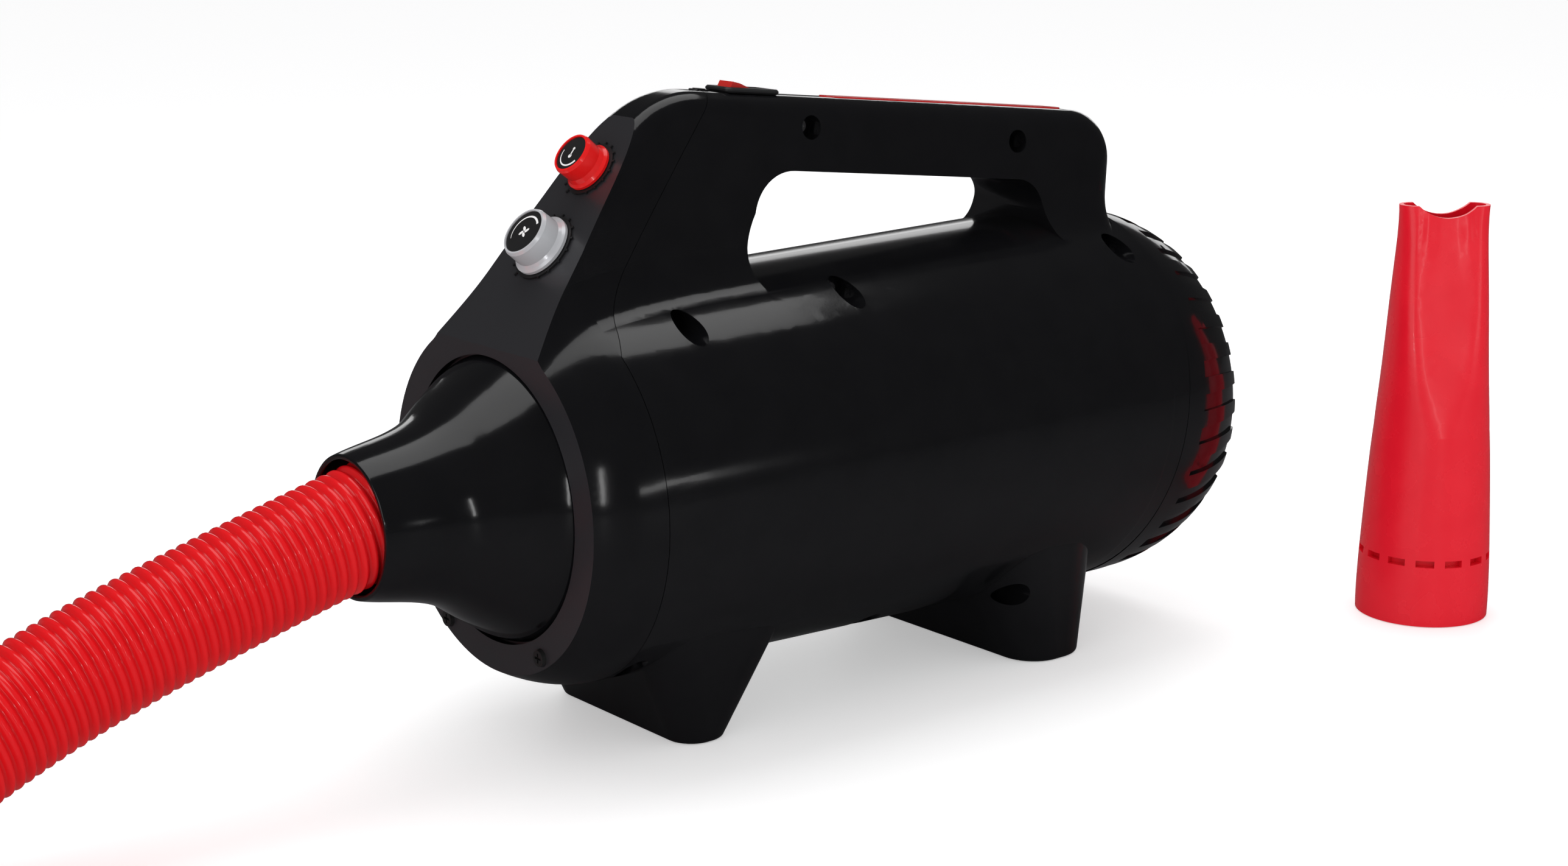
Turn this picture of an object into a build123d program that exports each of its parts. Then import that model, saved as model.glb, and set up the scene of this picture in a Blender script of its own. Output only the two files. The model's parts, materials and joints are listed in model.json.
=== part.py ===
from build123d import *
from math import acos, atan2, cos, hypot, pi, radians, sin, tan
import os

# Pet dryer: a hand-carried blower on two feet, with a long grip, a corrugated hose and a flat nozzle.
# Millimetres. +X runs along the blower from its nose to its rear, +Z is up, and y = 0 is the plane
# where the two housing halves meet. The origin is the middle of the front foot's sole.

# ---------------------------------------------------------------- driving dimensions
AXIS_Z = 115.0  # height of the blower's axis above the soles
MOUTH_X = -150.0  # front edge of the nose cone
MOUTH_R = 31.0
RING_X = MOUTH_X + 70.5  # flat front face of the front cover
RING_R = 77.4
RECESS_R = 63.8  # hole in the front cover that takes the nose cone
COVER_DEPTH = 32.0  # depth of the front cover, along X
JOINT_GAP = 0.35  # open line between the front cover and the housing
JOINT_X = RING_X + COVER_DEPTH
JOINT_R = 87.2
REAR_X = 262.0  # rear edge of the housing, at the height of the axis
REAR_R = 95.0
REAR_LEAN = 0.15  # the rear edge leans back by this much per mm of height
WALL = 3.0

PANEL_LEAN = radians(38.5)  # control panel, measured from the vertical
PANEL_FOOT_Z = AXIS_Z + 68.0
PANEL_TOP_Z = AXIS_Z + 160.8

BLADE_BASE_Z = AXIS_Z + 60.0  # the upright web that carries the panel and the grip
BLADE_DRAFT = 0.1  # the web gets slimmer by this much per mm of height, each side
WEB_BLANK_TOP = 180.0  # the web is made this tall above the axis and then cut to its side view
GRIP_FRONT = (30.0, AXIS_Z + 170.0)  # highest point of the grip, then a straight run down to the rear
GRIP_REAR = (286.0, AXIS_Z + 143.2)
GRIP_ROUND = 10.5
FLARE_R = 26.0  # hollow round between the web and the barrel

FRONT_FOOT = dict(x=0.0, length=27.0, width=104.0, round=13.0, top_x=4.5, top_length=102.0, top_width=137.0)
REAR_FOOT = dict(x=205.5, length=42.0, width=138.0, round=18.0, top_x=193.5, top_length=86.0, top_width=156.0)
FOOT_TOP_Z = AXIS_Z - 40.0

SPEED_RISE = 50.0  # knob centres, measured up the panel from its foot
HEAT_RISE = 90.5

HOSE_R = 25.5
HOSE_WALL = 4.0
CUFF_R = 26.0
HOSE_LEVEL = 26.0  # centre height of the hose where it lies on the floor

NOZZLE_XY = (410.0, -130.0)
NOZZLE_TURN = -39.4  # degrees about Z, so that its flat side looks out to the front left
NOZZLE_H = 213.0

BRACE_XS = (44.0, 128.0)
BRACE_LENGTH = 12.0
BRACE_RING_R = 51.0
REAR_BORE_R = 88.0
SPIGOT_DEPTH = 4.0

CONE_OUTLINE = ((0, 31.0), (15, 34.3), (30, 37.6), (40, 41.6), (50, 48.5), (60, 55.3), (70, 61.5), (74.5, 63.4))
CONE_WALL = 2.6
CAP_END_X = 311.3
CAP_END_R = 82.8
RIB_COUNT = 36
RIB_RECESS = 8.2  # width of the sunk band between two ribs
RIB_HEIGHT = 1.5

FILTER_X = 290.0

MOTOR_FRONT_X = 30.0
MOTOR_REAR_X = 150.0
MOTOR_R = 46.0
SHAFT_R = 4.0
SHAFT_FIT = 0.04

FAN_FRONT_X = 152.0
FAN_REAR_X = 215.0
FAN_R = 66.0

HEATER_FRONT_X = -40.0
HEATER_LENGTH = 52.0
HEATER_R = 57.8
HEATER_RINGS = (-32.0, -23.0, -14.0, -5.0, 4.0)
HEATER_RING_RS = (30.0, 46.0)
WIRE_R = 1.4

SPINDLE_R = 3.0
BOARD_DEPTH = 12.0

SWITCH_INNER = (24.4, 10.4)
SWITCH_PIVOT = -2.5  # height of the rocker's pivot below the grip's top
ROCKER_OUTLINE = (
    (-11.4, 0.5),
    (-9.4, 4.9),
    (-5.5, 4.3),
    (0, 2.5),
    (9.5, 0.4),
    (11.4, -0.2),
    (11.4, -5),
    (-11.4, -5),
)

HOSE_ROUTE = (
    (-120, 0, 121.8),
    (-205, 0, 99.8),
    (-293, 0, 71.8),
    (-365, -12, 43),
    (-435, -38, 26),
    (-502, -58, 26),
)
COIL_R = 255.5
COIL_ANGLE = 300.0
CUFF_LENGTH = 60.0

KNOBS = {
    "speed": dict(
        rise=SPEED_RISE,
        ring_r=15.8,
        outline=((14.3, 1.4), (14.3, 2.8), (13.2, 3.8), (12.2, 5.0), (11.9, 12.4), (11.2, 13.8), (10.4, 13.8)),
        disc_r=10.2,
        disc_low=12.4,
        disc_top=13.3,
    ),
    "heat": dict(
        rise=HEAT_RISE,
        ring_r=12.9,
        outline=((11.3, 1.4), (11.3, 2.6), (10.3, 3.8), (9.6, 6.0), (9.9, 12.2), (9.3, 13.6), (8.4, 13.6)),
        disc_r=8.15,
        disc_low=12.2,
        disc_top=13.1,
    ),
}

# screw wells in the left half: x, z, well radius, y of the well's floor
SCREW_WELLS = (
    (87.5, 265.5, 5.5, -7.0),
    (216.0, 249.4, 5.5, -7.0),
    (-6.0, 189.0, 6.5, -16.0),
    (86.0, 193.5, 6.0, -30.0),
    (258.8, 196.0, 6.0, -32.0),
    (175.0, 38.0, 6.0, -44.0),
    (100.0, 34.0, 6.0, -26.0),
    (-40.0, 42.0, 6.0, -34.0),
)
SCREW_R = 1.6
RING_SCREWS = ((-36.5, 52.7 - AXIS_Z), (36.5, 52.7 - AXIS_Z))  # y and height above the axis
TOP_SCREW_X = 36.0
SWITCH_X = 60.5
STRIP_FRONT_X = 108.0
STRIP_REAR_X = 262.0
STRIP_WIDTH = 12.0
STRIP_RISE = 0.5
GLAND_X = 225.0
KNOB_RISES = (SPEED_RISE, HEAT_RISE)

# the round lower part of the nozzle: height and outer radius
NOZZLE_BARREL = ((0, 33.5), (12, 33.6), (32, 33.0), (65, 31.3), (98, 29.0))
# the flattened upper part: height, half-width, half-width of the flats, half-depth, share of the flat form
NOZZLE_BLADE = (
    (98, 29.0, 8.0, 29.0, 0.0),
    (112, 27.9, 9.5, 26.4, 0.55),
    (130, 26.4, 12.5, 23.1, 0.9),
    (150, 25.2, 14.0, 19.5, 1.0),
    (180, 23.6, 14.5, 14.0, 1.0),
    (213, 22.9, 14.9, 8.0, 1.0),
)
NOZZLE_WALL = 2.2
SOCKET_R = 26.3
SOCKET_DEPTH = 38.0

GAP = 0.3  # free air between pieces that move past each other

LEAN_SIN = sin(PANEL_LEAN)
LEAN_COS = cos(PANEL_LEAN)
BODY_AXIS = Axis((0, 0, AXIS_Z), (1, 0, 0))


# ---------------------------------------------------------------- shared planes and outlines
def body_plane(x):
    """A plane across the blower's axis at x, its normal towards the rear."""
    return Plane(origin=(x, 0, AXIS_Z), x_dir=(0, 1, 0), z_dir=(1, 0, 0))


def panel_plane(rise, lift=0.0):
    """A plane on the control panel, its local Y up the slope and its normal outwards."""
    x = RING_X + rise * LEAN_SIN - lift * LEAN_COS
    z = PANEL_FOOT_Z + rise * LEAN_COS + lift * LEAN_SIN
    return Plane(origin=(x, 0, z), x_dir=(0, -1, 0), z_dir=(-LEAN_COS, 0, LEAN_SIN))


def panel_section(rise):
    """A plane that holds a knob's axis: local X is the radius and local Y the height above the panel."""
    base = panel_plane(rise).origin
    return Plane(origin=base, x_dir=(0, -1, 0), z_dir=(-LEAN_SIN, 0, -LEAN_COS))


GRIP_SLOPE = atan2(GRIP_REAR[1] - GRIP_FRONT[1], GRIP_REAR[0] - GRIP_FRONT[0])


def grip_plane(x, lift=0.0):
    """A plane on the top of the grip, its local X back along the grip and its normal upwards."""
    z = GRIP_FRONT[1] + (x - GRIP_FRONT[0]) * tan(GRIP_SLOPE)
    normal = (-sin(GRIP_SLOPE), 0, cos(GRIP_SLOPE))
    origin = (x + normal[0] * lift, 0, z + normal[2] * lift)
    return Plane(origin=origin, x_dir=(cos(GRIP_SLOPE), 0, sin(GRIP_SLOPE)), z_dir=normal)


def rear_x(z, inset=0.0):
    """Where the leaning rear edge of the housing is, at height z."""
    return REAR_X - inset + REAR_LEAN * (z - AXIS_Z)


def panel_x(z, inset=0.0):
    """Where the front face is, at height z: upright at the ring and leaning at the panel."""
    return RING_X + inset + max(0.0, z - PANEL_FOOT_Z) * tan(PANEL_LEAN)


def barrel_r(x):
    """Outer radius of the barrel at x."""
    return JOINT_R + (x - JOINT_X) * (REAR_R - JOINT_R) / (REAR_X - JOINT_X)


def side_zone(front_inset, rear_inset, low=-20.0, high=AXIS_Z + 210.0):
    """Everything behind the front face and ahead of the rear edge, seen from the side."""
    with BuildPart() as zone:
        with BuildSketch(Plane.XZ):
            Polygon(
                (panel_x(low, front_inset), low),
                (panel_x(PANEL_FOOT_Z, front_inset), PANEL_FOOT_Z),
                (panel_x(high, front_inset), high),
                (rear_x(high, rear_inset), high),
                (rear_x(low, rear_inset), low),
                align=None,
            )
        extrude(amount=130, both=True)
    return zone.part


def barrel(inset=0.0):
    """The barrel as a turned solid, made smaller all round by inset."""
    far = REAR_X + 40
    with BuildPart() as turned:
        with BuildSketch(Plane.XZ):
            with BuildLine():
                edge = Line((far, AXIS_Z + barrel_r(far) - inset), (JOINT_X, AXIS_Z + JOINT_R - inset))
                nose = TangentArc(
                    (JOINT_X, AXIS_Z + JOINT_R - inset),
                    (RING_X, AXIS_Z + RING_R - inset),
                    tangent=edge % 1,
                )
                Polyline(nose @ 1, (RING_X, AXIS_Z), (far, AXIS_Z), edge @ 0)
            make_face()
        revolve(axis=BODY_AXIS)
    return turned.part


def web_half(x):
    """Half-width of the upright web at its base: wide at the panel, slim at the grip."""
    if x < 10:
        return 26.0 + 0.1 * (10 - x)
    return 26.0 if x < 180 else 26.0 + 0.055 * (x - 180)


def nose_r(x):
    """Outer radius of the front cover, which rounds off towards the ring."""
    run = (JOINT_X - x) / COVER_DEPTH
    return JOINT_R - 1.0 * run - (JOINT_R - RING_R - 1.0) * run**2


def skin_section(x, inset):
    """One cross-section of the housing: barrel, hollow flares and drafted web, at x."""
    barrel_radius = (nose_r(x) if x < JOINT_X else barrel_r(x)) - inset
    half = web_half(x) - inset
    base = BLADE_BASE_Z - AXIS_Z
    flare = FLARE_R + inset
    lean = atan2(BLADE_DRAFT, 1.0)
    # the flare's centre is FLARE_R from the web's side and from the barrel
    far = barrel_radius + flare
    reach = half * cos(lean) + base * sin(lean) + flare
    turn = atan2(cos(lean), sin(lean)) - acos(reach / far)
    centre = (far * sin(turn), far * cos(turn))
    on_web = (centre[0] - flare * cos(lean), centre[1] - flare * sin(lean))
    on_barrel = (centre[0] * barrel_radius / far, centre[1] * barrel_radius / far)
    middle = (centre[0] - on_web[0] + centre[0] - on_barrel[0], centre[1] - on_web[1] + centre[1] - on_barrel[1])
    scale = flare / hypot(*middle)
    on_arc = (centre[0] - middle[0] * scale, centre[1] - middle[1] * scale)
    top = (half - BLADE_DRAFT * (WEB_BLANK_TOP - base), WEB_BLANK_TOP)
    with BuildSketch(body_plane(x)) as section:
        with BuildLine():
            Line((-top[0], top[1]), top)
            Line(top, on_web)
            ThreePointArc(on_web, on_arc, on_barrel)
            ThreePointArc(on_barrel, (0, -barrel_radius), (-on_barrel[0], on_barrel[1]))
            ThreePointArc((-on_barrel[0], on_barrel[1]), (-on_arc[0], on_arc[1]), (-on_web[0], on_web[1]))
            Line((-on_web[0], on_web[1]), (-top[0], top[1]))
        make_face()
    return section.sketch


def skin(inset=0.0):
    """The whole outer form, before its side view is cut: front cover and barrel with the web on top."""
    cover_stations = [RING_X - 0.5 + COVER_DEPTH * step / 5 for step in range(5)] + [JOINT_X]
    barrel_stations = [JOINT_X, 10, 95, 180, 250, 320]
    with BuildPart() as form:
        for stations in (cover_stations, barrel_stations):
            for x in stations:
                add(skin_section(x, inset))
            loft()
    return form.part


def grip_profile(inset=0.0):
    """Side view of the top and the rear: round shoulder, straight grip top and round rear corner."""
    slope = tan(GRIP_SLOPE)
    rear_round = 24.0 - inset
    shoulder = (panel_x(PANEL_TOP_Z, inset), PANEL_TOP_Z - 0.6 * inset)
    top = (GRIP_FRONT[0], GRIP_FRONT[1] - inset)
    corner_z = top[1] + (rear_x(GRIP_REAR[1], inset) - top[0]) * slope
    corner = (rear_x(corner_z, inset), corner_z)
    low = -20.0
    with BuildPart() as profile:
        with BuildSketch(Plane.XZ):
            with BuildLine():
                top_line = Line(corner, top)
                shoulder_arc = TangentArc(top, shoulder, tangent=top_line % 1)
                fall = shoulder_arc % 1
                ahead = (RING_X - 5 - shoulder[0]) / fall.X
                Polyline(
                    shoulder,
                    (RING_X - 5, shoulder[1] + ahead * fall.Y),
                    (RING_X - 5, low),
                    (rear_x(low, inset), low),
                    corner,
                )
            make_face()
        extrude(amount=130, both=True)
        rear_edge = profile.edges().filter_by(Axis.Y).group_by(Axis.X)[-1].sort_by(Axis.Z)[-1]
        fillet(rear_edge, radius=rear_round)
    return profile.part


def hand_opening(outset=0.0):
    """The hand opening through the web, seen from the side, made larger all round by outset."""
    low = AXIS_Z + 62.0
    front_low = (60.5 - outset, low)
    front_mid = (45.4 - outset, AXIS_Z + 96.0)
    front_high = (52.0 - outset, AXIS_Z + 115.0)
    top_front = (76.0, AXIS_Z + 131.8 + outset)
    top_rear = (216.0, AXIS_Z + 116.0 + outset)
    rear_high = (230.0 + outset, AXIS_Z + 100.0)
    with BuildPart() as opening:
        with BuildSketch(Plane.XZ):
            with BuildLine():
                top_line = Line(top_front, top_rear)
                TangentArc(top_front, front_high, tangent=(top_line % 0) * -1)
                ThreePointArc(front_high, front_mid, front_low)
                TangentArc(top_rear, rear_high, tangent=top_line % 1)
                Polyline(rear_high, (234.0 + outset, low), front_low)
            make_face()
        extrude(amount=80, both=True)
    return opening.part


def cover_zone(front, back, low=-20.0, high=AXIS_Z + 210.0):
    """The slab between two surfaces parallel to the front face, front and back being depths along X."""
    with BuildPart() as zone:
        with BuildSketch(Plane.XZ):
            Polygon(
                (panel_x(low, front), low),
                (panel_x(PANEL_FOOT_Z, front), PANEL_FOOT_Z),
                (panel_x(high, front), high),
                (panel_x(high, back), high),
                (panel_x(PANEL_FOOT_Z, back), PANEL_FOOT_Z),
                (panel_x(low, back), low),
                align=None,
            )
        extrude(amount=130, both=True)
    return zone.part


def foot_block(spec, inset=0.0):
    """A foot as a tapering block with rounded ends, from its sole up into the barrel."""
    with BuildPart() as block:
        with BuildSketch(Plane.XY.offset(inset)):
            with Locations((spec["x"], 0)):
                RectangleRounded(spec["length"] - 2 * inset, spec["width"] - 2 * inset, spec["round"] - inset)
        with BuildSketch(Plane.XY.offset(FOOT_TOP_Z)):
            with Locations((spec["top_x"], 0)):
                RectangleRounded(
                    spec["top_length"] - 2 * inset, spec["top_width"] - 2 * inset, 1.9 * spec["round"] - inset
                )
        loft(ruled=True)
        if inset == 0:
            fillet(block.edges().group_by(Axis.Z)[0], radius=2.0)
    return block.part


def barrel_tail():
    """The last stretch of the barrel, which keeps a crisp rear edge where the grip's edges are round."""
    front = REAR_X - 34
    far = REAR_X + 30
    with BuildPart() as tail:
        with BuildSketch(Plane.XZ):
            Polygon(
                (front, AXIS_Z),
                (front, AXIS_Z + barrel_r(front) - 0.06),
                (far, AXIS_Z + barrel_r(far) - 0.06),
                (far, AXIS_Z),
                align=None,
            )
        revolve(axis=BODY_AXIS)
        add(side_zone(0, 0), mode=Mode.INTERSECT)
    return tail.part


def outer_form():
    """The housing and front cover together as one solid outline."""
    with BuildPart() as form:
        add(skin())
        add(grip_profile(), mode=Mode.INTERSECT)
        crown = [
            edge
            for edge in form.edges()
            if (edge @ 0.5).Z > AXIS_Z + 119 and abs((edge @ 0.5).Y) > 8
        ]
        fillet(crown, radius=GRIP_ROUND)
        add(barrel_tail())
        add(cover_zone(0, 600), mode=Mode.INTERSECT)
        add(web_opening(), mode=Mode.SUBTRACT)
        for spec in (FRONT_FOOT, REAR_FOOT):
            add(foot_block(spec))
    return form.part


def web_opening(outset=0.0):
    """The hand opening, cut through the web and the flares but not into the barrel."""
    with BuildPart() as cut:
        add(hand_opening(outset))
        with BuildSketch(Plane.XZ):
            far = REAR_X + 60
            Polygon(
                (JOINT_X, AXIS_Z),
                (JOINT_X, AXIS_Z + JOINT_R + 0.05 - outset),
                (far, AXIS_Z + barrel_r(far) + 0.05 - outset),
                (far, AXIS_Z),
                align=None,
            )
        revolve(axis=BODY_AXIS, mode=Mode.SUBTRACT)
    return cut.part


def inner_form(wall=WALL):
    """The space inside walls of that thickness, all round the housing and the front cover."""
    with BuildPart() as space:
        add(skin(wall))
        add(grip_profile(wall), mode=Mode.INTERSECT)
        add(cover_zone(wall, 600), mode=Mode.INTERSECT)
        add(web_opening(wall), mode=Mode.SUBTRACT)
        for spec in (FRONT_FOOT, REAR_FOOT):
            add(foot_block(spec, wall))
    return space.part


# ---------------------------------------------------------------- housing details
def side_plane(x, z, y):
    """An upright plane facing the left side (-Y), centred on a screw."""
    return Plane(origin=(x, y, z), x_dir=(1, 0, 0), z_dir=(0, -1, 0))


def screw_bosses():
    """The pillars that hold the case screws, ending inside the housing's wall."""
    with BuildPart() as pillars:
        for x, z, well_r, floor in SCREW_WELLS:
            with BuildSketch(side_plane(x, z, 0)):
                Circle(well_r + 2.0)
            extrude(amount=120)
            with BuildSketch(side_plane(x, z, 0)):
                Circle(4.6)
            extrude(amount=-18)
        add(inner_form(WALL / 2), mode=Mode.INTERSECT)
    return pillars.part


def motor_braces():
    """Two rings on four spokes each, which carry the motor inside the barrel."""
    with BuildPart() as braces:
        for x in BRACE_XS:
            with BuildSketch(body_plane(x)):
                Circle(BRACE_RING_R + 3)
                Circle(BRACE_RING_R, mode=Mode.SUBTRACT)
                with PolarLocations(BRACE_RING_R + 20, 4, start_angle=45):
                    Rectangle(37, 3.0)
            extrude(amount=BRACE_LENGTH)
        add(barrel(1.0), mode=Mode.INTERSECT)
    return braces.part


def rear_plug(radius, depth):
    """A round plug on the blower's axis that starts at a depth ahead of the leaning rear edge."""
    with BuildPart() as plug:
        with BuildSketch(body_plane(REAR_X - 40)):
            Circle(radius)
        extrude(amount=60)
        add(side_zone(-5, depth), mode=Mode.SUBTRACT)
    return plug.part


def case_shell():
    """Housing and front cover still in one piece, hollow, with their bosses and holes."""
    with BuildPart() as case:
        add(outer_form())
        add(inner_form(), mode=Mode.SUBTRACT)
        add(screw_bosses())
        add(motor_braces())
        # seat of the nose cone, behind the front ring
        with BuildSketch(body_plane(RING_X + 1)):
            Circle(RECESS_R + 4)
        extrude(amount=7)
        with BuildSketch(body_plane(RING_X)):
            Circle(RECESS_R)
        extrude(amount=4, mode=Mode.SUBTRACT)
        with BuildSketch(body_plane(RING_X)):
            Circle(56)
        extrude(amount=9, mode=Mode.SUBTRACT)
        # rear bore for the filter cap
        add(rear_plug(REAR_BORE_R, SPIGOT_DEPTH + 0.5), mode=Mode.SUBTRACT)
        # the grip's inlay, the switch and the top screw
        with BuildSketch(grip_plane(SWITCH_X, 2)):
            Rectangle(26.4, 12.4)
        extrude(amount=-9, mode=Mode.SUBTRACT)
        with BuildSketch(grip_plane(TOP_SCREW_X, -3)):
            Circle(4.6)
        extrude(amount=3.6)
        with BuildSketch(grip_plane(TOP_SCREW_X, -8)):
            Circle(SCREW_R + 0.1)
        extrude(amount=12, mode=Mode.SUBTRACT)
        with BuildSketch(grip_plane(TOP_SCREW_X, -0.6)):
            Circle(3.5)
        extrude(amount=4, mode=Mode.SUBTRACT)
        add(strip_block(), mode=Mode.SUBTRACT)
        # control shafts and cable gland
        for rise in KNOB_RISES:
            with BuildSketch(panel_plane(rise, 5)):
                Circle(4.0)
            extrude(amount=-12, mode=Mode.SUBTRACT)
        with BuildSketch(Plane(origin=(GLAND_X, 60, AXIS_Z), x_dir=(1, 0, 0), z_dir=(0, 1, 0))):
            Circle(8.9)
        extrude(amount=60, mode=Mode.SUBTRACT)
        # screw wells from the left, and the holes that they lead to
        for x, z, well_r, floor in SCREW_WELLS:
            with BuildSketch(side_plane(x, z, floor)):
                Circle(well_r)
            extrude(amount=120, mode=Mode.SUBTRACT)
            with BuildSketch(side_plane(x, z, 12)):
                Circle(SCREW_R)
            extrude(amount=12 - floor + 1, mode=Mode.SUBTRACT)
        for y, up in RING_SCREWS:
            with BuildSketch(Plane.YZ.offset(RING_X + 1)):
                with Locations((y, AXIS_Z + up)):
                    Circle(5.0)
            extrude(amount=12)
            with BuildSketch(Plane.YZ.offset(RING_X - 1)):
                with Locations((y, AXIS_Z + up)):
                    Circle(SCREW_R)
            extrude(amount=11, mode=Mode.SUBTRACT)
    return case.part


def strip_block():
    """The grip's inlay: a thin slab that follows the top of the grip and stands just proud of it."""
    middle = (STRIP_FRONT_X + STRIP_REAR_X) / 2
    length = (STRIP_REAR_X - STRIP_FRONT_X) / cos(GRIP_SLOPE)
    with BuildPart() as strip:
        with BuildSketch(grip_plane(middle, STRIP_RISE)):
            SlotOverall(length, STRIP_WIDTH)
        extrude(amount=-STRIP_RISE - 1.6)
    return strip.part


def build_case():
    """Front cover, left half and right half, cut from the one case."""
    case = case_shell()
    with BuildPart() as front_cover:
        add(case)
        add(cover_zone(-5, COVER_DEPTH - JOINT_GAP), mode=Mode.INTERSECT)
    with BuildPart() as housing:
        add(case)
        add(cover_zone(COVER_DEPTH, 600), mode=Mode.INTERSECT)
    with BuildPart() as left_housing:
        add(housing.part)
        split(bisect_by=Plane.XZ, keep=Keep.TOP)
    with BuildPart() as right_housing:
        add(housing.part)
        split(bisect_by=Plane.XZ, keep=Keep.BOTTOM)
    return front_cover, left_housing, right_housing


def save(name, made):
    """Label one sub-part and write it as parts/NAME.step."""
    made.part.label = name
    export_step(made.part, f"parts/{name}.step")


# ---------------------------------------------------------------- air path
def turned(points):
    """A solid turned about the blower's axis from a closed outline of straight edges."""
    with BuildPart() as solid:
        with BuildSketch(Plane.XZ):
            Polygon(*points, align=None)
        revolve(axis=BODY_AXIS)
    return solid


def cone_inner_r(distance, radius):
    """Inner radius of the nose cone: the wall is thicker where the cone flares."""
    return radius - CONE_WALL * (1.0 if distance < 35 else 1.25)


def build_nose_cone():
    """The flared cone that narrows the air down to the hose."""
    with BuildPart() as nose_cone:
        with BuildSketch(Plane.XZ):
            with BuildLine():
                outer = Spline(*[(MOUTH_X + d, AXIS_Z + r) for d, r in CONE_OUTLINE])
                inner = Spline(*[(MOUTH_X + d, AXIS_Z + cone_inner_r(d, r)) for d, r in CONE_OUTLINE])
                Line(outer @ 1, inner @ 1)
                Line(inner @ 0, outer @ 0)
            make_face()
        revolve(axis=BODY_AXIS)
        fillet(nose_cone.edges().group_by(Axis.X)[0], radius=1.1)
    return nose_cone


def build_hose_collar():
    """The ring inside the cone that grips the end of the hose, bored along the hose."""
    start = Vector(*HOSE_ROUTE[0])
    along = (start - Vector(*HOSE_ROUTE[1])).normalized()
    with BuildPart() as hose_collar:
        with BuildSketch(Plane.XZ):
            Polygon(
                (-134, AXIS_Z + 20),
                (-134, AXIS_Z + 31.5),
                (-122, AXIS_Z + 34.1),
                (-114, AXIS_Z + 36.2),
                (-114, AXIS_Z + 20),
                align=None,
            )
        revolve(axis=BODY_AXIS)
        with BuildSketch(Plane(origin=start - along * 40, z_dir=along)):
            Circle(HOSE_R)
        extrude(amount=80, mode=Mode.SUBTRACT)
    return hose_collar


def cap_r(x, inset=0.0):
    """Outer radius of the rear cap at x."""
    run = max(0.0, (x - REAR_X) / (CAP_END_X - REAR_X))
    return REAR_R + 0.3 * run - (REAR_R + 0.3 - CAP_END_R) * run**2.4 - inset


def rim_turned(low_points, inset):
    """A solid turned from the cap's curved rim, closed through the points given."""
    stations = (REAR_X - 18, REAR_X, REAR_X + 15, REAR_X + 30, REAR_X + 42, CAP_END_X)
    with BuildPart() as rim:
        with BuildSketch(Plane.XZ):
            with BuildLine():
                edge = Spline(*[(x, AXIS_Z + cap_r(x, inset)) for x in stations])
                Polyline(edge @ 1, *low_points, edge @ 0)
            make_face()
        revolve(axis=BODY_AXIS)
    return rim.part


def groove_cutter():
    """The sunk bands between the ribs of the cap's rim, as one solid to cut with."""
    with BuildPart() as cutter:
        with BuildSketch(body_plane(REAR_X + 1)):
            with PolarLocations(88, RIB_COUNT, start_angle=180 / RIB_COUNT):
                Rectangle(30, RIB_RECESS)
        extrude(amount=CAP_END_X - REAR_X + 1)
        add(side_zone(-5, -12.0), mode=Mode.SUBTRACT)
        near = AXIS_Z + 60
        add(rim_turned(((CAP_END_X, near), (REAR_X - 18, near)), RIB_HEIGHT), mode=Mode.SUBTRACT)
    return cutter.part


def build_rear_cap():
    """The filter cap: a ribbed rim, a grille of slots across the back and a short spigot."""
    inside = (
        (CAP_END_X, AXIS_Z),
        (CAP_END_X - 3, AXIS_Z),
        (CAP_END_X - 3, AXIS_Z + CAP_END_R - 4),
        (CAP_END_X - 14, AXIS_Z + REAR_BORE_R - 1),
        (REAR_X - 18, AXIS_Z + REAR_BORE_R - 1),
    )
    with BuildPart() as rear_cap:
        add(rim_turned(inside, 0.0))
        fillet(rear_cap.edges().group_by(Axis.X)[-1], radius=1.6)
        add(side_zone(-5, -GAP), mode=Mode.SUBTRACT)
        add(groove_cutter(), mode=Mode.SUBTRACT)
        add(rear_plug(REAR_BORE_R - 0.4, SPIGOT_DEPTH))
        with BuildSketch(body_plane(REAR_X - 41)):
            Circle(REAR_BORE_R - 3.4)
        extrude(amount=41 + CAP_END_X - REAR_X - 14, mode=Mode.SUBTRACT)
        with BuildSketch(body_plane(REAR_X + 30)):
            Circle(REAR_BORE_R - 10)
        extrude(amount=CAP_END_X - REAR_X - 33, mode=Mode.SUBTRACT)
        for ring_r, count in ((68, 36), (52, 28), (36, 18), (20, 10)):
            with BuildSketch(body_plane(CAP_END_X - 5)):
                with PolarLocations(ring_r, count):
                    SlotOverall(12.6, 4.2)
            extrude(amount=10, mode=Mode.SUBTRACT)
    return rear_cap


def build_filter_frame():
    """The spoked frame that holds the foam against the grille."""
    with BuildPart() as filter_frame:
        with BuildSketch(body_plane(FILTER_X)):
            Circle(77.5)
            Circle(72.5, mode=Mode.SUBTRACT)
            with PolarLocations(41, 8):
                Rectangle(68, 3)
            Circle(10)
        extrude(amount=3)
    return filter_frame


def disc_part(x, outer_r, inner_r, length):
    """A plain ring or disc on the blower's axis."""
    with BuildPart() as ring:
        with BuildSketch(body_plane(x)):
            Circle(outer_r)
            if inner_r:
                Circle(inner_r, mode=Mode.SUBTRACT)
        extrude(amount=length)
    return ring


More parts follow.
